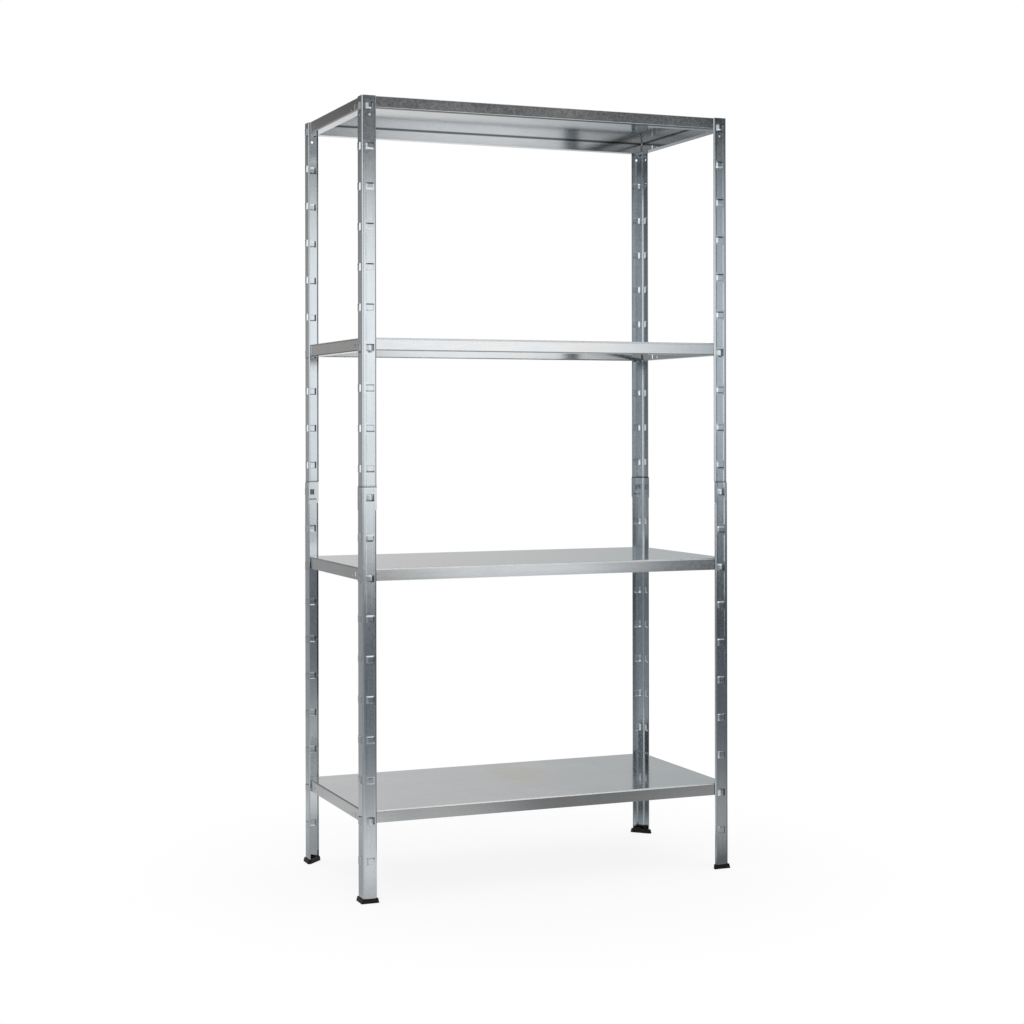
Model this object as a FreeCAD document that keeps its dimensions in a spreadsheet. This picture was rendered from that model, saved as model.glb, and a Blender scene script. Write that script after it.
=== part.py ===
import FreeCAD, Part
import os
import re
import Sketcher

# Boltless shelving unit: four corner posts in two nesting halves, four pan shelves and four feet.
# Millimetres, +Z up, front at -Y. The origin is on the floor, in the middle of the four feet.

# Driving sizes: name, value and meaning
SIZES = [
    ("shelf_length", 808, "shelf from side flange to side flange"),
    ("shelf_depth", 400, "shelf from front flange to back flange"),
    ("shelf_sheet", 0.6, "steel thickness of a shelf"),
    ("shelf_flange", 25.5, "height of the folded edge of a shelf"),
    ("shelf_lip", 20, "width of the lip that returns under a shelf"),
    ("shelf_bend", 1, "outer radius of the upper folds of a shelf"),
    ("shelf_notch", 3, "square notch at the corners of a shelf"),
    ("slot_inset", 54, "long slot in a side flange, from the front or back edge"),
    ("slot_drop", 16, "top of a shelf to the middle of that slot"),
    ("slot_width", 4, "width of that slot"),
    ("slot_height", 11, "height of that slot"),
    ("pilot_inset", 78, "small square hole in a side flange, from the front or back edge"),
    ("pilot_drop", 19, "top of a shelf to the middle of that hole"),
    ("pilot_hole", 3.6, "side of that hole"),
    ("post_sheet", 0.8, "steel thickness of a post"),
    ("post_flange", 30, "width of a flange of a post"),
    ("post_bend", 4, "outer radius of the corner of a post"),
    ("lip_depth", 3.2, "depth of the lips along the edges of a post"),
    ("lip_bend", 3, "outer radius of the bends of those lips"),
    ("lip_free", 45, "end of a half post that has no lips, so that two halves can nest"),
    ("overlap", 42.5, "length over which the halves nest"),
    ("row_count", 10, "loops up a half post"),
    ("row_pitch", 80, "spacing of the loops"),
    ("row_drop", 20, "top of a half post to its first loop"),
    ("row_tail", 80, "last loop of a half post to its bottom end"),
    ("loop_inset", 16.5, "middle of a loop from the corner of the post"),
    ("loop_width", 17, "width of a loop and of the window behind it"),
    ("window_height", 14, "height of the window behind a loop"),
    ("loop_rise", 2.4, "how far the strip of a free loop stands out"),
    ("loop_ramp", 3, "length of the sloping ends of that strip"),
    ("sprung_rise", 3.2, "how far a strip stands out where a tongue is behind it"),
    ("sprung_ramp", 5, "length of the sloping ends of such a strip"),
    ("bolt_drop", 18.7, "first loop of an upper half to the round hole under it"),
    ("bolt_hole", 5.5, "diameter of that hole"),
    ("tongue_width", 7, "width of a hooking tongue"),
    ("splice_relief", 1, "room cut beside a splice tongue"),
    ("hook_drop", 3, "how far a tongue reaches down outside the post"),
    ("splice_rise", 5, "root of a splice tongue above the middle of its loop"),
    ("foot_height", 9, "height of a foot"),
    ("foot_sole", 2.5, "thickness under the post"),
    ("foot_wall", 1.5, "wall of a foot"),
    ("foot_flare", 1.6, "how far a foot spreads at the floor"),
    ("foot_gap", 0.15, "room between post and foot"),
    ("nest_gap", 0.1, "room between the nested halves of a post"),
    ("shelf_gap", 0.3, "room between the edge lips of an upper post and a shelf"),
    ("hook_gap", 0.2, "room between a lower post and the tongue outside it"),
]

# Sizes that follow from the driving ones
DERIVED = [
    ("half_length", "row_drop + (row_count - 1) * row_pitch + row_tail"),
    ("nest_step", "post_sheet + nest_gap"),
    ("upper_reach", "lip_depth + shelf_gap"),
    ("lower_reach", "upper_reach + nest_step"),
    ("upper_foot", "foot_sole + half_length - overlap"),
    ("tongue_inset", "loop_inset - upper_reach - nest_step / 2"),
    ("hook_reach", "lower_reach + hook_gap + shelf_sheet"),
    ("hook_seat", "-row_drop - window_height / 2"),
    ("foot_out", "foot_gap + foot_wall"),
    ("foot_leg", "post_flange + foot_out"),
    ("foot_toe", "lip_depth + foot_out"),
]

# Corner name, side of the unit in X and Y, and turn of the post about Z
CORNERS = [
    ("front_left", -1, -1, 0),
    ("front_right", 1, -1, 90),
    ("back_right", 1, 1, 180),
    ("back_left", -1, 1, 270),
]

# Shelf, the half of the posts that it hangs in and the row of its loops, counted from that half's top
SHELVES = [
    ("shelf_top", "upper", "0"),
    ("shelf_upper_middle", "upper", "row_count - 4"),
    ("shelf_lower_middle", "lower", "2"),
    ("shelf_bottom", "lower", "row_count - 2"),
]

# Height of the bottom end of each half of a post
HALF_BASE = {"upper": "upper_foot", "lower": "foot_sole"}

doc = FreeCAD.newDocument("ShelvingUnit")
sheet = doc.addObject("Spreadsheet::Sheet", "Sizes")


def fill_sheet():
    rows = [(name, str(value), note) for name, value, note in SIZES]
    rows += [(name, "=" + rule, "derived") for name, rule in DERIVED]
    for line, (name, content, note) in enumerate(rows, start=1):
        sheet.set("A%d" % line, name)
        sheet.set("B%d" % line, content)
        sheet.set("C%d" % line, note)
        sheet.setAlias("B%d" % line, name)
    doc.recompute()


def value(rule):
    """The number that a rule in the sizes gives."""
    return float(sheet.evalExpression(rule))


def bound(rule):
    """The same rule as another object reads it from the sheet."""
    return re.sub(r"[a-z][a-z_]+", lambda word: "Sizes." + word.group(0), rule)


def bind(thing, **rules):
    """Binds properties to rules, with two underscores for a dot in a property's path."""
    for path, rule in rules.items():
        thing.setExpression(path.replace("__", "."), bound(rule))


def origin(body, role):
    return next(item for item in body.Origin.OriginFeatures if item.Role == role)


# Sketches

def new_sketch(body, name, plane, offset="0"):
    """A sketch on one of the body's own planes, moved along that plane's normal."""
    sketch = body.newObject("Sketcher::SketchObject", name)
    sketch.AttachmentSupport = [(origin(body, plane), "")]
    sketch.MapMode = "FlatFace"
    bind(sketch, AttachmentOffset__Base__z=offset)
    return sketch


def pin_point(rules, curve, end, point):
    """Ties a point of a curve to the rules for its place."""
    for axis, rule in zip(("DistanceX", "DistanceY"), point):
        rules.append((Sketcher.Constraint(axis, -1, 1, curve, end, value(rule)), rule))


def apply_rules(sketch, rules):
    first = sketch.ConstraintCount
    sketch.addConstraint([constraint for constraint, rule in rules])
    for index, (constraint, rule) in enumerate(rules, start=first):
        if rule is not None:
            sketch.setExpression("Constraints[%d]" % index, bound(rule))


def step(start, end):
    """Direction from one spot to another along an axis, as whole numbers."""
    across = end[0] - start[0]
    along = end[1] - start[1]
    longest = max(abs(across), abs(along))
    return round(across / longest), round(along / longest)


def rounded(corners):
    """Splits each corner that has a radius into the two ends of its arc.

    Gives the points in order and, for each point where an arc starts, its radius and mid point."""
    spots = [(value(corner[0]), value(corner[1])) for corner in corners]
    points = []
    arcs = {}
    for index, corner in enumerate(corners):
        if len(corner) == 2:
            points.append(corner)
            continue
        x, y, radius = corner
        back = step(spots[index], spots[index - 1])
        ahead = step(spots[index], spots[(index + 1) % len(spots)])
        size = value(radius)
        shift = size * (1 - 0.5 ** 0.5)
        middle = [spots[index][axis] + (back[axis] + ahead[axis]) * shift for axis in (0, 1)]
        arcs[len(points)] = (radius, middle)
        for way in (back, ahead):
            points.append(("%s + (%d) * (%s)" % (x, way[0], radius), "%s + (%d) * (%s)" % (y, way[1], radius)))
    return points, arcs


def arc_through(start, middle, end):
    """An arc that runs anticlockwise, as a sketch needs, whichever way the outline goes."""
    if (middle - start).cross(end - middle).z < 0:
        start, end = end, start
    return Part.Arc(start, middle, end)


def draw(sketch, points, arcs):
    """Adds a closed outline of lines and arcs, with every point tied to the sizes."""
    spots = [FreeCAD.Vector(value(x), value(y), 0) for x, y in points]
    first = sketch.GeometryCount
    count = len(points)
    curves = []
    for index, start in enumerate(spots):
        end = spots[(index + 1) % count]
        if index in arcs:
            curves.append(arc_through(start, FreeCAD.Vector(*arcs[index][1], 0), end))
        else:
            curves.append(Part.LineSegment(start, end))
    sketch.addGeometry(curves)
    ends = []
    for index, start in enumerate(spots):
        runs_forward = sketch.Geometry[first + index].StartPoint.distanceToPoint(start) < 1e-6
        ends.append((1, 2) if runs_forward else (2, 1))
    rules = []
    for index in range(count):
        before = (index - 1) % count
        joint = Sketcher.Constraint("Coincident", first + before, ends[before][1], first + index, ends[index][0])
        rules.append((joint, None))
        pin_point(rules, first + index, ends[index][0], points[index])
        if index in arcs:
            radius = arcs[index][0]
            rules.append((Sketcher.Constraint("Radius", first + index, value(radius)), radius))
    apply_rules(sketch, rules)


def outline(sketch, corners):
    """A closed outline from its corners, each (x, y) or, for a rounded square corner, (x, y, radius)."""
    draw(sketch, *rounded(corners))


def rectangle(sketch, x, y, width, height):
    """A rectangle about its middle."""
    left = "%s - (%s) / 2" % (x, width)
    right = "%s + (%s) / 2" % (x, width)
    low = "%s - (%s) / 2" % (y, height)
    high = "%s + (%s) / 2" % (y, height)
    outline(sketch, [(left, low), (right, low), (right, high), (left, high)])


def circle(sketch, x, y, diameter):
    middle = FreeCAD.Vector(value(x), value(y), 0)
    curve = sketch.addGeometry(Part.Circle(middle, FreeCAD.Vector(0, 0, 1), value(diameter) / 2))
    rules = [(Sketcher.Constraint("Diameter", curve, value(diameter)), diameter)]
    pin_point(rules, curve, 3, (x, y))
    apply_rules(sketch, rules)


# Features

def new_body(label):
    body = doc.addObject("PartDesign::Body", label)
    body.Label = label
    return body


def clone(body, label):
    """Another piece of the same shape, which follows the first one's sizes."""
    copy = new_body(label)
    base = copy.newObject("PartDesign::FeatureBase", label + "_shape")
    base.BaseFeature = body
    copy.Tip = base
    return copy


def place(body, x, y, z, turn=0):
    body.Placement = FreeCAD.Placement(FreeCAD.Vector(), FreeCAD.Rotation(FreeCAD.Vector(0, 0, 1), turn))
    bind(body, Placement__Base__x=x, Placement__Base__y=y, Placement__Base__z=z)


def pad(body, sketch, length, both_ways=False):
    feature = body.newObject("PartDesign::Pad", sketch.Name + "Pad")
    feature.Profile = sketch
    feature.SideType = "Symmetric" if both_ways else "One side"
    bind(feature, Length=length)
    return feature


def pocket(body, sketch, length, both_ways=True):
    feature = body.newObject("PartDesign::Pocket", sketch.Name + "Pocket")
    feature.Profile = sketch
    feature.SideType = "Symmetric" if both_ways else "One side"
    bind(feature, Length=length)
    return feature


def mirror(body, features, plane):
    feature = body.newObject("PartDesign::Mirrored", features[0].Name + "Mirrored")
    feature.Originals = features
    feature.MirrorPlane = (origin(body, plane), [""])
    body.Tip = feature
    return feature


def repeat_down(body, features, count, spacing):
    """Repeats features down a post."""
    feature = body.newObject("PartDesign::LinearPattern", features[0].Name + "Row")
    feature.Originals = features
    feature.Direction = (origin(body, "Z_Axis"), [""])
    feature.Reversed = True
    feature.Occurrences = count
    bind(feature, Length="%d * (%s)" % (count - 1, spacing))
    body.Tip = feature
    return feature


# Corner posts. In its own frame a post's outer corner is the Z axis, its flanges run along +X and
# +Y, and its bottom end is at Z 0.

LOOP_START = "loop_inset - loop_width / 2"
LOOP_END = "loop_inset + loop_width / 2"
FLANGE_PLANE = {"X": "XZ_Plane", "Y": "YZ_Plane"}
WALL_CUT = "4 * post_sheet"


def swap(points, flange):
    """Points of a section for the flange along X, turned over for the flange along Y."""
    return points if flange == "X" else [(y, x) for x, y in points]


def lipped_section(sketch):
    outline(sketch, [
        ("0", "0", "post_bend"),
        ("post_flange", "0", "lip_bend"),
        ("post_flange", "lip_depth"),
        ("post_flange - post_sheet", "lip_depth"),
        ("post_flange - post_sheet", "lip_bend"),
        ("post_flange - lip_bend", "post_sheet"),
        ("post_sheet", "post_sheet", "post_bend - post_sheet"),
        ("post_sheet", "post_flange - lip_bend"),
        ("lip_bend", "post_flange - post_sheet"),
        ("lip_depth", "post_flange - post_sheet"),
        ("lip_depth", "post_flange"),
        ("0", "post_flange", "lip_bend"),
    ])


def plain_section(sketch):
    outline(sketch, [
        ("0", "0", "post_bend"),
        ("post_flange", "0"),
        ("post_flange", "post_sheet"),
        ("post_sheet", "post_sheet", "post_bend - post_sheet"),
        ("post_sheet", "post_flange"),
        ("0", "post_flange"),
    ])


def strip_section(sketch, flange, rise, ramp):
    """The strip of a loop, cut level: a flat that stands out and two sloping ends."""
    outline(sketch, swap([
        (LOOP_START, "0"),
        ("%s + %s" % (LOOP_START, ramp), "-" + rise),
        ("%s - %s" % (LOOP_END, ramp), "-" + rise),
        (LOOP_END, "0"),
        (LOOP_END, "post_sheet"),
        ("%s - %s" % (LOOP_END, ramp), "post_sheet - " + rise),
        ("%s + %s" % (LOOP_START, ramp), "post_sheet - " + rise),
        (LOOP_START, "post_sheet"),
    ], flange))


def add_loops(body, row, count, row_step, form):
    """A run of loops down both flanges: each has a window and, in front of it, a strip of one form."""
    level = "half_length - row_drop - %d * row_pitch" % row
    features = []
    for flange in ("X", "Y"):
        window = new_sketch(body, "Window%s%d" % (flange, row), FLANGE_PLANE[flange])
        rectangle(window, "loop_inset", level, "loop_width", "window_height")
        features.append(pocket(body, window, WALL_CUT))
        strip = new_sketch(body, "Strip%s%d" % (flange, row), "XY_Plane", level + " - window_height / 2")
        strip_section(strip, flange, form + "_rise", form + "_ramp")
        features.append(pad(body, strip, "window_height"))
    if count > 1:
        repeat_down(body, features, count, "%d * row_pitch" % row_step)


def loop_runs(engaged):
    """Runs of free loops between the rows that hold a tongue, as (first row, count)."""
    runs = []
    start = 0
    for row in sorted(engaged) + [int(value("row_count"))]:
        if row > start:
            runs.append((start, row - start))
        start = row + 1
    return runs


def add_bolt_holes(body):
    for flange in ("X", "Y"):
        hole = new_sketch(body, "BoltHole" + flange, FLANGE_PLANE[flange])
        circle(hole, "loop_inset", "half_length - row_drop - bolt_drop", "bolt_hole")
        pocket(body, hole, WALL_CUT)


def add_splice_tongues(body):
    """Tongues pressed out of the nested end, which stand on the lower edge of the lower half's first window."""
    middle = "loop_inset - nest_step"
    level = "overlap - row_drop"
    root = level + " + splice_rise"
    seat = level + " - window_height / 2"
    reach = "nest_step + post_sheet / 2"
    for flange, side_plane in (("X", "YZ_Plane"), ("Y", "XZ_Plane")):
        slot = new_sketch(body, "SpliceSlot" + flange, FLANGE_PLANE[flange])
        rectangle(slot, middle, level + " + (splice_rise - window_height / 2) / 2",
                  "tongue_width + 2 * splice_relief", "splice_rise + window_height / 2")
        pocket(body, slot, WALL_CUT)
        # The plane across Y looks along -Y, so its offset counts the other way.
        side = middle if flange == "X" else "-(%s)" % middle
        tongue = new_sketch(body, "SpliceTongue" + flange, side_plane, side)
        outline(tongue, [
            ("post_sheet", root),
            ("0", root),
            ("-(%s)" % reach, seat),
            ("post_sheet - (%s)" % reach, seat),
        ])
        pad(body, tongue, "tongue_width", both_ways=True)


def make_post(label, half):
    body = new_body(label)
    upper = half == "upper"
    lipped_from = "lip_free" if upper else "0"
    plain_from = "0" if upper else "half_length - lip_free"
    lipped = new_sketch(body, "LippedSection", "XY_Plane", lipped_from)
    lipped_section(lipped)
    pad(body, lipped, "half_length - lip_free")
    plain = new_sketch(body, "PlainSection", "XY_Plane", plain_from)
    plain_section(plain)
    pad(body, plain, "lip_free")
    first, second = [int(value(row)) for shelf, in_half, row in SHELVES if in_half == half]
    splice = [] if upper else [0]
    for row, count in loop_runs(splice + [first, second]):
        add_loops(body, row, count, 1, "loop")
    add_loops(body, first, 2, second - first, "sprung")
    for row in splice:
        add_loops(body, row, 1, 1, "sprung")
    if upper:
        add_bolt_holes(body)
        add_splice_tongues(body)
    return body


# Feet, in the frame of the post that stands in them but with the floor at Z 0.

def add_foot_block(body):
    """A block that spreads towards the floor, with its inner corner cut off."""
    block = body.newObject("PartDesign::AdditiveWedge", "Block")
    block.AttachmentSupport = [(origin(body, "XZ_Plane"), "")]
    block.MapMode = "FlatFace"
    # The plane across Y looks along -Y, so the block's depth counts the other way.
    bind(block, Xmin="-foot_out - foot_flare", Xmax="foot_leg + foot_flare", X2min="-foot_out", X2max="foot_leg",
         Ymin="0", Ymax="foot_height",
         Zmin="-foot_leg - foot_flare", Zmax="foot_out + foot_flare", Z2min="-foot_leg", Z2max="foot_out")
    far = "foot_leg + 2 * foot_flare"
    near = "foot_toe - 2 * foot_flare"
    corner = new_sketch(body, "InnerCorner", "XY_Plane", "foot_height")
    outline(corner, [(far, near), (far, far), (near, far)])
    pocket(body, corner, "foot_height", both_ways=False)


def socket_outline(sketch):
    """The section of a post with room all round it and, inside its bend, the corner cut off."""
    far = "post_flange + foot_gap"
    near = "post_flange - lip_bend - foot_gap"
    wall = "post_sheet + foot_gap"
    lip = "lip_depth + foot_gap"
    outline(sketch, [
        ("-foot_gap", "-foot_gap"),
        (far, "-foot_gap"),
        (far, lip),
        (near, lip),
        (near, wall),
        ("post_bend", wall),
        (wall, "post_bend"),
        (wall, near),
        (lip, near),
        (lip, far),
        ("-foot_gap", far),
    ])


def make_foot(label):
    body = new_body(label)
    add_foot_block(body)
    socket = new_sketch(body, "Socket", "XY_Plane", "foot_height")
    socket_outline(socket)
    pocket(body, socket, "foot_height - foot_sole", both_ways=False)
    inner = "post_sheet + foot_gap + foot_wall"
    end = "post_flange - post_sheet - foot_gap - foot_wall"
    hollow = new_sketch(body, "Hollow", "XY_Plane", "foot_height")
    outline(hollow, [(inner, inner), (end, inner), (inner, end)])
    pocket(body, hollow, "foot_height - foot_sole", both_ways=False)
    return body


# Shelves. In its own frame a shelf is centred on the Z axis and its top face is at Z 0.

def pan_section(sketch, span):
    """The folded sheet, cut across: lip, flange, top, flange and lip."""
    edge = "%s / 2" % span
    low = "-shelf_flange"
    inner_low = "shelf_sheet - shelf_flange"
    outline(sketch, [
        ("shelf_lip - " + edge, low),
        ("-" + edge, low),
        ("-" + edge, "0", "shelf_bend"),
        (edge, "0", "shelf_bend"),
        (edge, low),
        (edge + " - shelf_lip", low),
        (edge + " - shelf_lip", inner_low),
        (edge + " - shelf_sheet", inner_low),
        (edge + " - shelf_sheet", "-shelf_sheet"),
        ("shelf_sheet - " + edge, "-shelf_sheet"),
        ("shelf_sheet - " + edge, inner_low),
        ("shelf_lip - " + edge, inner_low),
    ])


def tongue_section(sketch, span, sign):
    """A tongue from the side: down from the flange, out over the window's lower edge and down again."""
    edge = "%s / 2" % span
    tip = "hook_seat - hook_drop"
    points = [
        (edge + " - shelf_sheet", "-shelf_flange + shelf_sheet"),
        (edge, "-shelf_flange + shelf_sheet"),
        (edge, "hook_seat + shelf_sheet"),
        (edge + " + hook_reach", "hook_seat + shelf_sheet"),
        (edge + " + hook_reach", tip),
        (edge + " + hook_reach - shelf_sheet", tip),
        (edge + " + hook_reach - shelf_sheet", "hook_seat"),
        (edge + " - shelf_sheet", "hook_seat"),
    ]
    outline(sketch, [("%s (%s)" % (sign, x), z) for x, z in points])


def add_tongues(body, across, along, plane):
    """Tongues on the two flanges across one direction, near both ends of those flanges."""
    tongues = new_sketch(body, "Tongues_" + plane, plane, "%s / 2 - tongue_inset" % along)
    for sign in ("-1 *", "1 *"):
        tongue_section(tongues, across, sign)
    mirror(body, [pad(body, tongues, "tongue_width", both_ways=True)], plane)


def add_side_holes(body):
    """A slot and a small square hole near both ends of the side flanges."""
    holes = new_sketch(body, "SideHoles", "YZ_Plane")
    for sign in ("-1 *", "1 *"):
        rectangle(holes, "%s (shelf_depth / 2 - slot_inset)" % sign, "-slot_drop", "slot_width", "slot_height")
        rectangle(holes, "%s (shelf_depth / 2 - pilot_inset)" % sign, "-pilot_drop", "pilot_hole", "pilot_hole")
    pocket(body, holes, "shelf_length + 2 * shelf_lip")


def make_shelf(label):
    body = new_body(label)
    for plane, across, along in (("YZ_Plane", "shelf_depth", "shelf_length"),
                                 ("XZ_Plane", "shelf_length", "shelf_depth")):
        section = new_sketch(body, "Pan_" + plane, plane)
        pan_section(section, across)
        pad(body, section, "%s - 2 * shelf_notch" % along, both_ways=True)
    add_side_holes(body)
    add_tongues(body, "shelf_depth", "shelf_length", "YZ_Plane")
    add_tongues(body, "shelf_length", "shelf_depth", "XZ_Plane")
    return body


# The whole unit

def at_corners(name, body, reach, height):
    """A piece at the first corner and its clones at the others, outside the shelves by their reach."""
    for corner, side_x, side_y, turn in CORNERS:
        label = "%s_%s" % (name, corner)
        piece = body if body.Label == label else clone(body, label)
        place(piece, "%d * (shelf_length / 2 + %s)" % (side_x, reach),
              "%d * (shelf_depth / 2 + %s)" % (side_y, reach), height, turn)


def hang_shelves():
    """The shelves, each with its top face row_drop above the middle of its loops."""
    first = make_shelf(SHELVES[0][0])
    for label, half, row in SHELVES:
        piece = first if first.Label == label else clone(first, label)
        place(piece, "0", "0", "%s + half_length - (%s) * row_pitch" % (HALF_BASE[half], row))


def make_unit():
    first_corner = CORNERS[0][0]
    for half in ("lower", "upper"):
        name = half + "_post"
        at_corners(name, make_post("%s_%s" % (name, first_corner), half), half + "_reach", HALF_BASE[half])
    at_corners("foot", make_foot("foot_" + first_corner), "lower_reach", "0")
    hang_shelves()


def check_and_write():
    doc.recompute()
    broken = [item.Name for item in doc.Objects if {"Invalid", "Error"} & set(item.State)]
    if broken:
        raise RuntimeError("failed objects: %s" % broken)
    bodies = [item for item in doc.Objects if item.TypeId == "PartDesign::Body"]
    for body in bodies:
        shape = body.Shape
        if shape.isNull() or not shape.isValid() or len(shape.Solids) != 1:
            raise RuntimeError("%s is not one valid solid" % body.Label)
    os.makedirs("parts", exist_ok=True)
    for body in bodies:
        body.Shape.exportStep(os.path.join("parts", body.Label + ".step"))
        print("%-26s %9.1f mm3" % (body.Label, body.Shape.Volume))


fill_sheet()
make_unit()
check_and_write()
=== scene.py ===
import math

import bpy
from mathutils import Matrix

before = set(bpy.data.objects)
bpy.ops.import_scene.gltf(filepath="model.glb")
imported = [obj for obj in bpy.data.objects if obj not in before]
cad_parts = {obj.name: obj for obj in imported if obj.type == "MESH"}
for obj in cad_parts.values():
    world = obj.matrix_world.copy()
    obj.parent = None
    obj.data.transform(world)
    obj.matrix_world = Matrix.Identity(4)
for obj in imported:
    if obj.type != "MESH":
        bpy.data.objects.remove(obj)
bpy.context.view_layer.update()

# Galvanised shelving unit in a plain studio: steel and plastic finishes, floor, light and camera.
# Metres, in the frame of the part: +Z up, front at -Y.

# Camera, found by fitting the posts, loops, shelf edges and feet to the photograph
IMAGE_SIDE = 1024
FOCAL_PIXELS = 1936.2
HORIZON_PIXEL = 425.6
CAMERA_PLACE = (-1.5766, -3.8598, 0.9449)
CAMERA_YAW = math.radians(22.152)
CAMERA_ROLL = math.radians(0.1)
SENSOR = 36.0

# Colours
WHITE = (1, 1, 1, 1)
STEEL = (0.69, 0.708, 0.722, 1)
STEEL_DULL = (0.63, 0.652, 0.67, 1)
STEEL_WARM = (0.645, 0.615, 0.56, 1)
STEEL_POST = (0.664, 0.708, 0.737, 1)
STEEL_POST_DULL = (0.604, 0.652, 0.686, 1)
PLASTIC = (0.006, 0.006, 0.007, 1)
PLASTIC_WORN = (0.016, 0.016, 0.017, 1)
PAPER = (0.97, 0.97, 0.97, 1)
OVERHEAD_LIGHT = (1.2, 1.18, 1.15, 1)

# Texture of the zinc coating: sizes of its marks as scales per metre, relief and roughness
CRYSTAL_SCALE = 260
LINE_SCALE = 420
CLOUD_SCALE = 9
WAVE_SCALE = 30
PATCH_SCALE = 4.5
LINE_DEPTH = 0.000004
WAVE_DEPTH = 0.00005
STEEL_ROUGHNESS = 0.08
CRYSTAL_ROUGHNESS = 0.03
CLOUD_ROUGHNESS = 0.05
GRAIN_UPRIGHT = (1, 1, 0.03)
GRAIN_LEVEL = (0.03, 1, 1)
CLOUD_STOPS = [(0.35, 0.0), (0.65, 1.0)]
CRYSTAL_STOPS = [(0.2, 0.97), (0.8, 1.02)]
LINE_STOPS = [(0.3, 0.95), (0.7, 1.03)]
PATCH_STOPS = [(0.5, 0.0), (0.7, 0.45)]

# Texture of the plastic
SCUFF_SCALE = 140
MOULD_SCALE = 1800
MOULD_DEPTH = 0.00003
PLASTIC_ROUGHNESS = 0.38
MOULD_ROUGHNESS = 0.15
PLASTIC_SPECULAR = 0.25
SCUFF_STOPS = [(0.55, 0.0), (0.75, 1.0)]

# Limits of the surface direction by which faces are told apart
ALONG_Y = 0.5
TO_FRONT = -0.9
SIDEWAYS = 0.1
UPRIGHT = 0.1

# Places of the loops on the posts
UPPER_CORNER = (0.4075, 0.2035)
LOWER_CORNER = (0.4084, 0.2044)
UPPER_ROW = 1.58
LOWER_ROW = 0.8025
ROW_PITCH = 0.08
LOOP_INSET = 0.0165
LOOP_HALF_WIDTH = 0.0085
LOOP_HALF_HEIGHT = 0.007
LOOP_REACH = LOOP_HALF_HEIGHT + 0.0002
LOOP_SIDES = 1.02

# Pressed form of the posts: rolled edges of the loops, and the shallow channel between loops
ROLLED_EDGE = 0.0042
ROLL_DOWN = 0.085
ROLL_UP = {"upper": 0.05, "lower": 0.085}
CHANNEL_SLOPE = 0.1
CHANNEL_SIDE = 0.8
CHANNEL_START = 0.009
CHANNEL_FULL = 0.014
SPRUNG_ROUND = 0.45
SPRUNG_ROWS = {"upper": (1.58, 1.1), "lower": (0.8025, 0.6425, 0.1625)}

# Shade at the upper edges of the loops, as distances from the edge, heights and depths
EDGE_SHADE_START = 0.003
EDGE_SHADE_FULL = 0.002
EDGE_SHADE_HEIGHTS = (0.85, 1.2)
EDGE_SHADE_LEAST = 0.25
EDGE_SHADE_MORE = 0.4

# Small bends of this unit, and the painted shade and painted highlight at the splice between the post halves
BACK_RIGHT_TWIST = 0.036
BACK_LEFT_LEAN = 0.026
LEAN_TOP = 0.6425
SPLICE_TOP = 0.8225
SPLICE_REACH = 0.006
SPLICE_SHADE = [(0.0, 1.0), (0.49, 1.0), (0.5, 0.3), (0.7, 0.4), (1.0, 1.0)]
SPLICE_HIGHLIGHT = [(0.0, 1.0), (0.2, 1.0), (0.5, 1.25)]

# Top face of each shelf, and the shelf whose back flange is bent a little open
SHELF_TOPS = {
    "shelf_top": 1.6,
    "shelf_upper_middle": 1.12,
    "shelf_lower_middle": 0.6625,
    "shelf_bottom": 0.1825,
}
OPENED_SHELF = "shelf_upper_middle"
OPENED_SLOPE = 0.07
BACK_FLANGE_FROM = 0.19

# Folds of the shelves, and the painted shade in dark lines along them
FLANGE = 0.0255
FOLD_SOFT = 0.004
FOLD_FULL = 0.001
FOLD_SLOPE = 1.3
FOLD_LINE = (0.004, 0.002)
FOLD_DARK = 0.22
LOWER_EDGE_LINE = (0.003, 0.0015)
LOWER_EDGE_SHADE = 0.85

# Smudge on the lowest shelf
SMUDGED_SHELF = "shelf_bottom"
SMUDGE = (0.03, 0.06)
SMUDGE_HALF = (0.075, 0.15)
SMUDGE_SCALE = 14
SMUDGE_RAGGED = 1.8
SMUDGE_EDGE = (2.0, 1.2)
SMUDGE_MOST = 0.75

# Floor: its size, the white that the camera sees, and where the near bearings give way to the far ones
FLOOR_SIDE = 40.0
FLOOR_REACH = 16.0
SHADOW_FROM = 0.45
SHADOW_TO = 1.0
SHADOW_WHITE = 0.85
FLOOR_TURN = (2.7, 7.3)

# Painted levels of the floor's glow in the steel, by distance from the unit in metres
FLOOR_SHADE = [
    (0.0, 0.64), (0.53, 0.6), (1.16, 0.5), (1.6, (0.33, 0.345, 0.36, 1)), (2.35, (0.235, 0.255, 0.275, 1)),
    (3.35, (0.21, 0.23, 0.25, 1)), (4.7, (0.23, 0.25, 0.27, 1)), (6.75, (0.365, 0.39, 0.41, 1)),
    (9.6, 0.97), (13.3, 1.5), (FLOOR_REACH, 1.5),
]
FLOOR_LEFT_SHADE = [(0.0, 0.4), (0.53, 0.42), (1, 0.6), (1.6, 0.4), (3.2, 0.36), (FLOOR_REACH, 0.36)]
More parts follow.
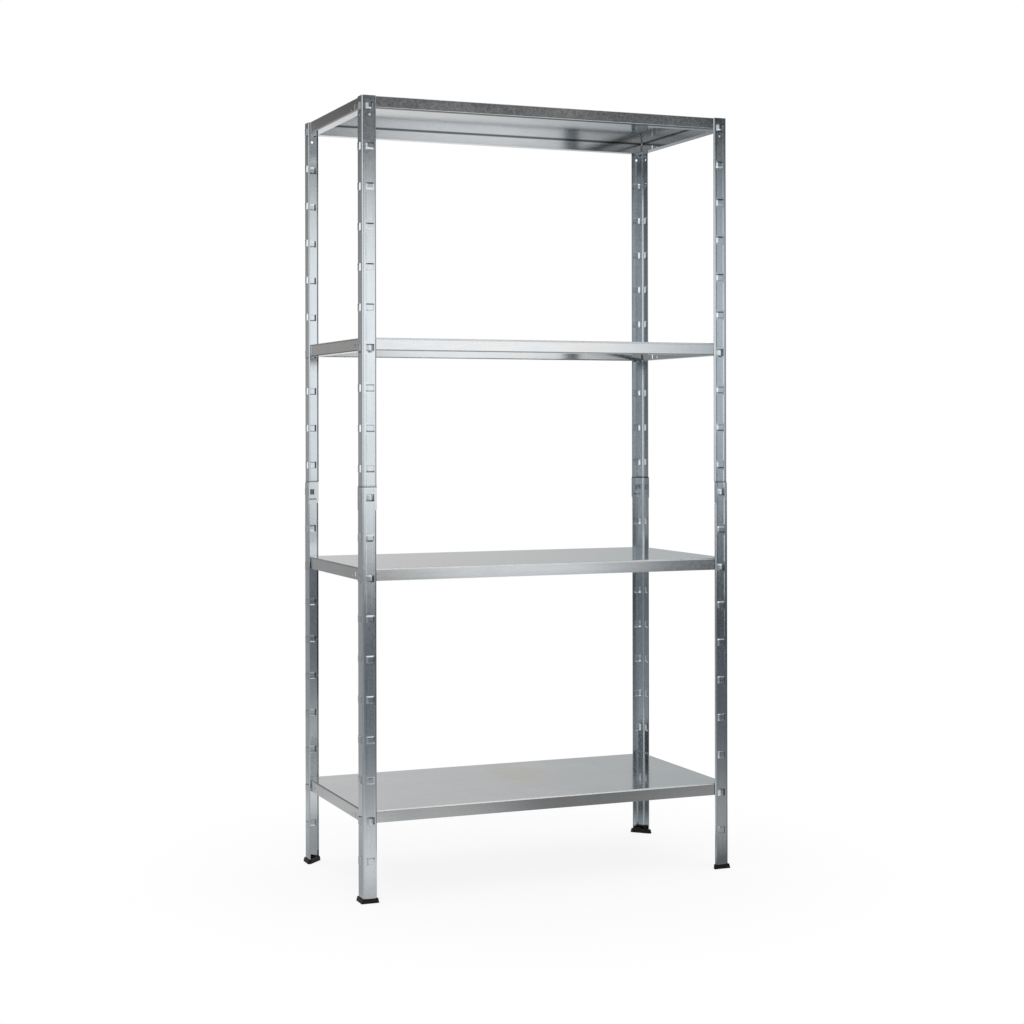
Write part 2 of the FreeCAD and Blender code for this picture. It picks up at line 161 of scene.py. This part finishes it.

# Painted levels of the floor's glow in the steel, by bearing from the front of the unit in degrees
FLOOR_NEAR = [
    (-15, 1.45), (-9, 1.35), (-6, 1.05), (5, 1.0), (18, 0.45), (30, 0.5), (39, 0.75),
    (46, 0.72), (56, 0.25), (85, 0.22), (110, 0.9), (180, 1.2),
]
FLOOR_FAR = [
    (-40, 0.45), (15.2, 0.45), (18.2, 1.1), (24, 1.1), (26.5, 0.5), (29, (0.1, 0.115, 0.125, 1)),
    (60, (0.11, 0.125, 0.135, 1)), (145, (0.11, 0.125, 0.135, 1)), (150, (0.26, 0.28, 0.3, 1)),
    (154, (0.43, 0.46, 0.48, 1)), (158, 0.69), (163, 0.82), (180, 0.7),
]
FLOOR_LEFT = [(-179, 0.0), (-172, 1.0), (-75, 1.0), (-30, 0.0)]

# Levels of the room in the steel, by bearing from the camera's direction in degrees:
# a light at the left, the backdrop ahead, the dark right and the bright part behind
ROOM_ROUND = [
    (-180, 0.25), (-172, 0.3), (-167.5, 1.45), (-160, 1.4), (-133, 0.85), (-124, 0.8), (-118, 1.4),
    (-113, 1.4), (-107, 0.45), (-70, 0.45), (-52, (0.19, 0.22, 0.24, 1)), (-40, (0.4, 0.39, 0.375, 1)),
    (-25, 0.5), (-10, 0.68), (0, 0.57), (6, (0.46, 0.49, 0.5, 1)), (24, (0.27, 0.32, 0.34, 1)), (42, 0.55),
    (55, 1.0), (68, 0.9), (80, 0.8), (88, 0.2), (118, (0.14, 0.175, 0.2, 1)), (126, (0.17, 0.21, 0.235, 1)),
    (129.5, (0.43, 0.475, 0.51, 1)), (133, 1.12), (138.5, 1.12), (141.5, 1.0), (162, 1.0), (169, 0.3),
    (180, 0.25),
]
ROOM_BEHIND = [(-180, 1.0), (-150, 0.3), (-100, 0.0), (100, 0.0), (122, 1.0)]
ROOM_LEFT = [(-75, 0.0), (-55, 1.0), (-33, 1.0), (-20, 0.0)]

# Levels of the room in the steel, by elevation in degrees:
# the band behind, the fall at the left and the light above
ROOM_BAND = [
    (-11.4, 0.6), (-5.4, 0.8), (-1.3, 1.0), (2.7, 1.22), (4.1, 1.2), (6.6, 1.0),
    (7.9, 0.03), (10.4, 0.02), (12, 0.5), (14.8, 0.8), (30, 0.85),
]
ROOM_FALL = [(-3.3, 1.0), (3.7, 0.95), (7.6, 0.68), (8.6, 0.5), (9.8, 0.3), (40, 0.5)]
ROOM_OVERHEAD = [(30, 0.0), (50, 1.0)]


# Node helpers

def new_nodes(owner):
    """An empty node tree for a material or the world, and its output."""
    owner.use_nodes = True
    tree = owner.node_tree
    tree.nodes.clear()
    kind = "ShaderNodeOutputWorld" if isinstance(owner, bpy.types.World) else "ShaderNodeOutputMaterial"
    return tree, tree.nodes.new(kind)


def connect(tree, source, target):
    """Joins an output socket to an input, or sets the input to a plain value."""
    if isinstance(source, bpy.types.NodeSocket):
        tree.links.new(source, target)
    else:
        target.default_value = source


def math_node(tree, operation, *values, clamp=False):
    node = tree.nodes.new("ShaderNodeMath")
    node.operation = operation
    node.use_clamp = clamp
    for value, socket in zip(values, node.inputs):
        connect(tree, value, socket)
    return node.outputs[0]


def add(tree, first, second):
    return math_node(tree, "ADD", first, second)


def subtract(tree, first, second):
    return math_node(tree, "SUBTRACT", first, second)


def product(tree, first, *others):
    for other in others:
        first = math_node(tree, "MULTIPLY", first, other)
    return first


def absolute(tree, value):
    return math_node(tree, "ABSOLUTE", value)


def sign(tree, value):
    return math_node(tree, "SIGN", value)


def more_than(tree, value, limit):
    return math_node(tree, "GREATER_THAN", value, limit)


def less_than(tree, value, limit):
    return math_node(tree, "LESS_THAN", value, limit)


def length(tree, first, second):
    """Distance from the middle, from two coordinates."""
    return math_node(tree, "SQRT", add(tree, product(tree, first, first), product(tree, second, second)))


def separate(tree, vector):
    node = tree.nodes.new("ShaderNodeSeparateXYZ")
    tree.links.new(vector, node.inputs[0])
    return node.outputs[0], node.outputs[1], node.outputs[2]


def span(tree, value, start, end):
    """A number that goes from 0 to 1, smoothly, as a value goes from start to end."""
    node = tree.nodes.new("ShaderNodeMapRange")
    node.interpolation_type = "SMOOTHSTEP"
    connect(tree, value, node.inputs["Value"])
    node.inputs["From Min"].default_value = start
    node.inputs["From Max"].default_value = end
    return node.outputs[0]


def ramp(tree, factor, stops):
    """A colour ramp from (place, grey or colour) stops."""
    node = tree.nodes.new("ShaderNodeValToRGB")
    elements = node.color_ramp.elements
    elements.remove(elements[1])
    for index, (place, colour) in enumerate(stops):
        element = elements[0] if index == 0 else elements.new(place)
        element.position = place
        element.color = colour if isinstance(colour, tuple) else (colour, colour, colour, 1)
    connect(tree, factor, node.inputs["Fac"])
    return node.outputs["Color"]


def mix_colour(tree, factor, first, second, blend="MIX"):
    node = tree.nodes.new("ShaderNodeMix")
    node.data_type = "RGBA"
    node.blend_type = blend
    for name, value in (("Factor_Float", factor), ("A_Color", first), ("B_Color", second)):
        socket = next(item for item in node.inputs if item.identifier == name)
        connect(tree, value, socket)
    return next(item for item in node.outputs if item.identifier == "Result_Color")


def shaded_by(tree, colour, shade):
    """A colour multiplied by a shade."""
    return mix_colour(tree, 1.0, colour, shade, "MULTIPLY")


def mapped(tree, scale=(1, 1, 1)):
    """Coordinates on the piece, in metres, stretched by a scale."""
    place = tree.nodes.new("ShaderNodeTexCoord")
    mapping = tree.nodes.new("ShaderNodeMapping")
    mapping.inputs["Scale"].default_value = scale
    tree.links.new(place.outputs["Object"], mapping.inputs["Vector"])
    return mapping.outputs["Vector"]


def noise(tree, vector, scale, detail=2.0, roughness=0.5):
    node = tree.nodes.new("ShaderNodeTexNoise")
    node.inputs["Scale"].default_value = scale
    node.inputs["Detail"].default_value = detail
    node.inputs["Roughness"].default_value = roughness
    tree.links.new(vector, node.inputs["Vector"])
    return node.outputs["Fac"]


def spangles(tree, vector, scale):
    """Crystals of the zinc coating, as one random grey for each cell."""
    node = tree.nodes.new("ShaderNodeTexVoronoi")
    node.inputs["Scale"].default_value = scale
    tree.links.new(vector, node.inputs["Vector"])
    grey = tree.nodes.new("ShaderNodeRGBToBW")
    tree.links.new(node.outputs["Color"], grey.inputs["Color"])
    return grey.outputs["Val"]


def bumped(tree, height, depth, normal=None):
    """The surface direction with a small relief, whose height goes from 0 to a depth in metres."""
    node = tree.nodes.new("ShaderNodeBump")
    node.inputs["Strength"].default_value = 1.0
    node.inputs["Distance"].default_value = depth
    tree.links.new(height, node.inputs["Height"])
    if normal is not None:
        tree.links.new(normal, node.inputs["Normal"])
    return node.outputs["Normal"]


def tilted(tree, normal, *tilts):
    """A surface direction with small tilts added along X, Y and Z."""
    tilt = tree.nodes.new("ShaderNodeCombineXYZ")
    for value, socket in zip(tilts, tilt.inputs):
        connect(tree, value, socket)
    total = tree.nodes.new("ShaderNodeVectorMath")
    total.operation = "ADD"
    tree.links.new(normal, total.inputs[0])
    tree.links.new(tilt.outputs[0], total.inputs[1])
    unit = tree.nodes.new("ShaderNodeVectorMath")
    unit.operation = "NORMALIZE"
    tree.links.new(total.outputs[0], unit.inputs[0])
    return unit.outputs[0]


def surface_normal(tree):
    return tree.nodes.new("ShaderNodeNewGeometry").outputs["Normal"]


# Finishes

def pressed_form(tree, half):
    """The surface direction of a post half with rolled loop edges and a shallow channel between loops,
    and the shade along the upper edges of the loops, or None."""
    corner, row = (UPPER_CORNER, UPPER_ROW) if half == "upper" else (LOWER_CORNER, LOWER_ROW)
    normal = surface_normal(tree)
    nx, ny, _ = separate(tree, normal)
    x, y, z = separate(tree, mapped(tree))

    # A face that looks along Y belongs to the flange along X, and the other way round.
    on_front = more_than(tree, absolute(tree, ny), ALONG_Y)
    on_side = subtract(tree, 1.0, on_front)

    # Place across the flange, from the middle of the loops in half widths, and up from the nearest row
    across_front = subtract(tree, corner[0] - LOOP_INSET, absolute(tree, x))
    across_side = subtract(tree, corner[1] - LOOP_INSET, absolute(tree, y))
    across = add(tree, product(tree, across_front, on_front), product(tree, across_side, on_side))
    across = math_node(tree, "DIVIDE", across, LOOP_HALF_WIDTH)
    inside = less_than(tree, absolute(tree, across), LOOP_SIDES)
    facing = sign(tree, add(tree, product(tree, ny, y, on_front), product(tree, nx, x, on_side)))
    outside = more_than(tree, facing, 0.0)
    from_row = math_node(tree, "WRAP", subtract(tree, z, row), ROW_PITCH / 2, -ROW_PITCH / 2)
    away = absolute(tree, from_row)
    on_loop = less_than(tree, away, LOOP_REACH)

    # The channel has sloping sides and a flat bottom.
    grown = span(tree, away, CHANNEL_START, CHANNEL_FULL)
    side = product(tree, span(tree, absolute(tree, across), CHANNEL_SIDE, 1.0), sign(tree, across))
    lean = product(tree, side, grown, inside, outside, CHANNEL_SLOPE)

    # A strip with a tongue behind it is rounded across its width.
    for height in SPRUNG_ROWS[half]:
        close = less_than(tree, absolute(tree, subtract(tree, z, height)), LOOP_REACH)
        lean = subtract(tree, lean, product(tree, across, close, inside, outside, SPRUNG_ROUND))

    # The upper and lower edges of a loop are rolled over.
    rolled = span(tree, away, LOOP_HALF_HEIGHT - ROLLED_EDGE, LOOP_HALF_HEIGHT)
    upper_edge = more_than(tree, from_row, 0.0)
    slope = math_node(tree, "MULTIPLY_ADD", upper_edge, ROLL_UP[half] + ROLL_DOWN, -ROLL_DOWN)
    rise = product(tree, rolled, on_loop, inside, slope, facing)

    # The post at the back right is turned a little, and the one at the back left leans below the third shelf.
    at_back = product(tree, more_than(tree, y, 0.0), on_front)
    at_right = more_than(tree, x, 0.0)
    turned = product(tree, at_back, at_right, BACK_RIGHT_TWIST)
    if half == "lower":
        low = less_than(tree, z, LEAN_TOP)
        leaning = product(tree, at_back, low, subtract(tree, 1.0, at_right), BACK_LEFT_LEAN)
        rise = subtract(tree, rise, leaning)
    lean_x = product(tree, lean, on_front, sign(tree, x))
    lean_y = product(tree, lean, on_side, sign(tree, y))
    direction = tilted(tree, normal, add(tree, lean_x, turned), lean_y, rise)

    # On the upper halves the upper edges of the loops are in shade, most of all high up.
    if half == "lower":
        return direction, None
    edge = span(tree, from_row, LOOP_HALF_HEIGHT - EDGE_SHADE_START, LOOP_HALF_HEIGHT - EDGE_SHADE_FULL)
    high = span(tree, z, *EDGE_SHADE_HEIGHTS)
    depth = math_node(tree, "MULTIPLY_ADD", high, EDGE_SHADE_MORE, EDGE_SHADE_LEAST)
    shade = ramp(tree, product(tree, edge, on_loop, inside, outside, depth), [(0.0, 1.0), (1.0, 0.0)])
    return direction, shade


def splice_shade_and_highlight(tree, half):
    """Painted shade on an upper half just above the end of the lower one, or a painted highlight along that
    end's cut edge.
    """
    height = separate(tree, mapped(tree))[2]
    above = span(tree, height, SPLICE_TOP - SPLICE_REACH, SPLICE_TOP + SPLICE_REACH)
    return ramp(tree, above, SPLICE_SHADE if half == "upper" else SPLICE_HIGHLIGHT)


def outwards(tree, normal, x, y):
    """A number above 0 on faces that look out of a shelf to its sides, and below 0 on those that look in."""
    nx, ny, _ = separate(tree, normal)
    return add(tree, product(tree, nx, x), product(tree, ny, y))


def fold_shade(tree, name):
    """Painted shade: a dark line inside a shelf, along the folds between its sheet and its flanges,
    and on one shelf along the outer lower edge too."""
    top = SHELF_TOPS[name]
    x, y, z = separate(tree, mapped(tree))
    out = outwards(tree, surface_normal(tree), x, y)
    inner = less_than(tree, out, -SIDEWAYS)
    start, full = FOLD_LINE
    dark = product(tree, inner, span(tree, z, top - start, top - full))
    if name == OPENED_SHELF:
        outer = more_than(tree, out, SIDEWAYS)
        start, full = LOWER_EDGE_LINE
        low = span(tree, z, top - FLANGE + start, top - FLANGE + full)
        dark = add(tree, dark, product(tree, outer, low, LOWER_EDGE_SHADE))
    return ramp(tree, dark, [(0.0, 1.0), (1.0, FOLD_DARK)])


def smudge(tree):
    """Where the lowest shelf is smudged: a soft blot with a ragged edge."""
    even = mapped(tree)
    x, y, _ = separate(tree, even)
    across = math_node(tree, "DIVIDE", subtract(tree, x, SMUDGE[0]), SMUDGE_HALF[0])
    along = math_node(tree, "DIVIDE", subtract(tree, y, SMUDGE[1]), SMUDGE_HALF[1])
    ragged = noise(tree, even, SMUDGE_SCALE, detail=5, roughness=0.65)
    away = math_node(tree, "MULTIPLY_ADD", ragged, SMUDGE_RAGGED, length(tree, across, along))
    return span(tree, away, *SMUDGE_EDGE)


def folded_form(tree, name):
    """The surface direction of a shelf: a soft fold, which is the lower one on the top shelf, and on one
    shelf a back flange that leans out."""
    top = SHELF_TOPS[name]
    normal = surface_normal(tree)
    _, ny, nz = separate(tree, normal)
    x, y, z = separate(tree, mapped(tree))
    outer = more_than(tree, outwards(tree, normal, x, y), SIDEWAYS)
    upright = less_than(tree, absolute(tree, nz), UPRIGHT)
    if name == "shelf_top":
        soft = span(tree, z, top - FLANGE + FOLD_SOFT, top - FLANGE)
        slope = -FOLD_SLOPE
    else:
        soft = span(tree, z, top - FOLD_SOFT, top - FOLD_FULL)
        slope = FOLD_SLOPE
    rise = product(tree, outer, upright, soft, slope)
    if name == OPENED_SHELF:
        inner = product(tree, less_than(tree, ny, TO_FRONT), more_than(tree, y, BACK_FLANGE_FROM))
        rise = subtract(tree, rise, product(tree, inner, OPENED_SLOPE))
    return tilted(tree, normal, 0.0, 0.0, rise)


def new_shader(name):
    """A new material with one shader: the material, its nodes and the shader."""
    material = bpy.data.materials.new(name)
    tree, output = new_nodes(material)
    shader = tree.nodes.new("ShaderNodeBsdfPrincipled")
    tree.links.new(shader.outputs["BSDF"], output.inputs["Surface"])
    return material, tree, shader


def galvanised(name, half=None):
    """Zinc-coated sheet: fine crystals, rolling lines along the grain and slow changes of tone.

    It is for the upper or lower half of the posts, or for the shelf with this name."""
    material, tree, shader = new_shader("galvanised_" + name)
    shader.inputs["Metallic"].default_value = 1.0

    even = mapped(tree)
    along = mapped(tree, GRAIN_UPRIGHT if half else GRAIN_LEVEL)
    crystals = spangles(tree, even, CRYSTAL_SCALE)
    lines = noise(tree, along, LINE_SCALE, detail=3, roughness=0.6)
    cloud = noise(tree, even, CLOUD_SCALE, detail=4, roughness=0.55)
    waves = noise(tree, along, WAVE_SCALE)

    dull, clean = (STEEL_POST_DULL, STEEL_POST) if half else (STEEL_DULL, STEEL)
    tone = mix_colour(tree, ramp(tree, cloud, CLOUD_STOPS), dull, clean)
    tone = shaded_by(tree, tone, ramp(tree, crystals, CRYSTAL_STOPS))
    tone = shaded_by(tree, tone, ramp(tree, lines, LINE_STOPS))
    if half:
        # Painted shade above the splice on the upper halves, and a painted highlight along the top end of the
        # lower halves
        tone = shaded_by(tree, tone, splice_shade_and_highlight(tree, half))
        normal, shade = pressed_form(tree, half)
        if shade is not None:
            tone = shaded_by(tree, tone, shade)
    else:
        patch = noise(tree, even, PATCH_SCALE, detail=5, roughness=0.6)
        tone = mix_colour(tree, ramp(tree, patch, PATCH_STOPS), tone, STEEL_WARM)
        if name == SMUDGED_SHELF:
            warm = ramp(tree, smudge(tree), [(0.0, 0.0), (1.0, SMUDGE_MOST)])
            tone = mix_colour(tree, warm, tone, STEEL_WARM)
        # Painted shade along the folds of the shelf
        tone = shaded_by(tree, tone, fold_shade(tree, name))
        normal = folded_form(tree, name)
    tree.links.new(tone, shader.inputs["Base Color"])

    gloss = math_node(tree, "MULTIPLY_ADD", crystals, CRYSTAL_ROUGHNESS, STEEL_ROUGHNESS)
    gloss = math_node(tree, "MULTIPLY_ADD", cloud, CLOUD_ROUGHNESS, gloss)
    tree.links.new(gloss, shader.inputs["Roughness"])
    wavy = bumped(tree, waves, WAVE_DEPTH, normal)
    tree.links.new(bumped(tree, lines, LINE_DEPTH, wavy), shader.inputs["Normal"])
    return material


def moulded_plastic(name):
    """Black plastic with a fine moulded grain, a little paler where it is scuffed."""
    material, tree, shader = new_shader(name)
    even = mapped(tree)
    scuffs = noise(tree, even, SCUFF_SCALE, detail=5, roughness=0.65)
    grain = noise(tree, even, MOULD_SCALE)
    tone = mix_colour(tree, ramp(tree, scuffs, SCUFF_STOPS), PLASTIC, PLASTIC_WORN)
    tree.links.new(tone, shader.inputs["Base Color"])
    gloss = math_node(tree, "MULTIPLY_ADD", grain, MOULD_ROUGHNESS, PLASTIC_ROUGHNESS)
    tree.links.new(gloss, shader.inputs["Roughness"])
    shader.inputs["Specular IOR Level"].default_value = PLASTIC_SPECULAR
    tree.links.new(bumped(tree, grain, MOULD_DEPTH), shader.inputs["Normal"])
    return material


def finish_pieces():
    """Gives every piece its finish, with the rolling lines along the length of its sheet."""
    finishes = {
        "upper": galvanised("upper_post", "upper"),
        "lower": galvanised("lower_post", "lower"),
        "foot": moulded_plastic("black_foot"),
    }
    for name in SHELF_TOPS:
        finishes[name] = galvanised(name)
    for name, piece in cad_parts.items():
        piece.data.materials.clear()
        piece.data.materials.append(finishes.get(name) or finishes[name.split("_")[0]])


# Studio

def full_circle(tree, angle):
    """An angle from -pi to pi, as 0 to 1."""
    return math_node(tree, "MULTIPLY_ADD", angle, 0.5 / math.pi, 0.5)


def bearings(levels):
    """Stops of a ramp from levels at bearings, where the ramp goes from -180 to 180 degrees."""
    return [(degrees / 360 + 0.5, level) for degrees, level in levels]


def elevations(levels):
    """Stops of a ramp from levels at elevations, where the ramp goes from -90 to 90 degrees."""
    return [(degrees / 180 + 0.5, level) for degrees, level in levels]


def distances(levels):
    """Stops of a ramp from levels at distances, where the ramp ends at the reach of the floor's levels."""
    return [(metres / FLOOR_REACH, level) for metres, level in levels]


def mix_shader(tree, factor, first, second):
    node = tree.nodes.new("ShaderNodeMixShader")
    for source, socket in zip((factor, first, second), node.inputs):
        tree.links.new(source, socket)
    return node.outputs[0]


def add_floor():
    """A pale floor that shows as white paper and keeps the soft shadow of the feet."""
    half = FLOOR_SIDE / 2
    mesh = bpy.data.meshes.new("floor")
    corners = [(-half, -half, 0), (half, -half, 0), (half, half, 0), (-half, half, 0)]
    mesh.from_pydata(corners, [], [(0, 1, 2, 3)])
    floor = bpy.data.objects.new("floor", mesh)
    bpy.context.scene.collection.objects.link(floor)
    material = bpy.data.materials.new("paper")
    tree, output = new_nodes(material)
    path = tree.nodes.new("ShaderNodeLightPath")
    x, y, _ = separate(tree, mapped(tree))
    away = length(tree, x, y)

    # To the camera the paper is white, with a soft shadow only near the unit.
    diffuse = tree.nodes.new("ShaderNodeBsdfDiffuse")
    diffuse.inputs["Color"].default_value = PAPER
    white = tree.nodes.new("ShaderNodeEmission")
    white.inputs["Strength"].default_value = 1.0
    clear = ramp(tree, span(tree, away, SHADOW_FROM, SHADOW_TO), [(0.0, SHADOW_WHITE), (1.0, 1.0)])
    to_camera = product(tree, path.outputs["Is Camera Ray"], clear)
    seen = mix_shader(tree, to_camera, diffuse.outputs[0], white.outputs[0])

    # For glossy rays the paper glows with painted levels, so that in the steel it shows bright round the
    # unit, then a darker floor, and far off the bright room.
    aside = full_circle(tree, math_node(tree, "ARCTAN2", x, product(tree, y, -1.0)))
    reach = math_node(tree, "DIVIDE", away, FLOOR_REACH, clamp=True)
    near = ramp(tree, aside, bearings(FLOOR_NEAR))
    far = ramp(tree, aside, bearings(FLOOR_FAR))
    turn = mix_colour(tree, span(tree, away, *FLOOR_TURN), near, far)
    around = shaded_by(tree, ramp(tree, reach, distances(FLOOR_SHADE)), turn)
    left_side = ramp(tree, aside, bearings(FLOOR_LEFT))
    around = mix_colour(tree, left_side, around, ramp(tree, reach, distances(FLOOR_LEFT_SHADE)))
    glow = tree.nodes.new("ShaderNodeEmission")
    tree.links.new(around, glow.inputs["Color"])
    mirrored = mix_shader(tree, path.outputs["Is Glossy Ray"], seen, glow.outputs[0])
    tree.links.new(mirrored, output.inputs["Surface"])
    mesh.materials.append(material)


def light_studio():
    """White background and even soft light, and in the steel a backdrop, a bright band and a light at the
    left."""
    world = bpy.data.worlds.new("studio")
    bpy.context.scene.world = world
    tree, output = new_nodes(world)
    path = tree.nodes.new("ShaderNodeLightPath")
    place = tree.nodes.new("ShaderNodeTexCoord")
    turn = tree.nodes.new("ShaderNodeVectorRotate")
    turn.rotation_type = "Z_AXIS"
    turn.inputs["Angle"].default_value = CAMERA_YAW
    tree.links.new(place.outputs["Generated"], turn.inputs["Vector"])
    right, forward, rise = separate(tree, turn.outputs["Vector"])

    # Bearing to the right of the photograph's viewing direction, and elevation, both as 0 to 1
    bearing = full_circle(tree, math_node(tree, "ARCTAN2", right, forward))
    rise = math_node(tree, "MULTIPLY_ADD", math_node(tree, "ARCSINE", rise), 1 / math.pi, 0.5)

    # The levels round the room are shaded by elevation, behind and at the left. The light above covers them.
    band = ramp(tree, rise, elevations(ROOM_BAND))
    fall = ramp(tree, rise, elevations(ROOM_FALL))
    band = mix_colour(tree, ramp(tree, bearing, bearings(ROOM_BEHIND)), WHITE, band)
    fall = mix_colour(tree, ramp(tree, bearing, bearings(ROOM_LEFT)), WHITE, fall)
    room = shaded_by(tree, ramp(tree, bearing, bearings(ROOM_ROUND)), shaded_by(tree, band, fall))
    room = mix_colour(tree, ramp(tree, rise, elevations(ROOM_OVERHEAD)), room, OVERHEAD_LIGHT)

    lit = mix_colour(tree, path.outputs["Is Glossy Ray"], WHITE, room)
    lit = mix_colour(tree, path.outputs["Is Camera Ray"], lit, WHITE)
    background = tree.nodes.new("ShaderNodeBackground")
    tree.links.new(lit, background.inputs["Color"])
    tree.links.new(background.outputs[0], output.inputs["Surface"])


def add_camera():
    data = bpy.data.cameras.new("camera")
    data.sensor_width = SENSOR
    data.lens = FOCAL_PIXELS * SENSOR / IMAGE_SIDE
    data.shift_y = (HORIZON_PIXEL - IMAGE_SIDE / 2) / IMAGE_SIDE
    camera = bpy.data.objects.new("camera", data)
    camera.location = CAMERA_PLACE
    camera.rotation_euler = (math.pi / 2, CAMERA_ROLL, -CAMERA_YAW)
    bpy.context.scene.collection.objects.link(camera)
    bpy.context.scene.camera = camera


finish_pieces()
add_floor()
light_studio()
add_camera()
bpy.context.scene.view_settings.view_transform = "Standard"
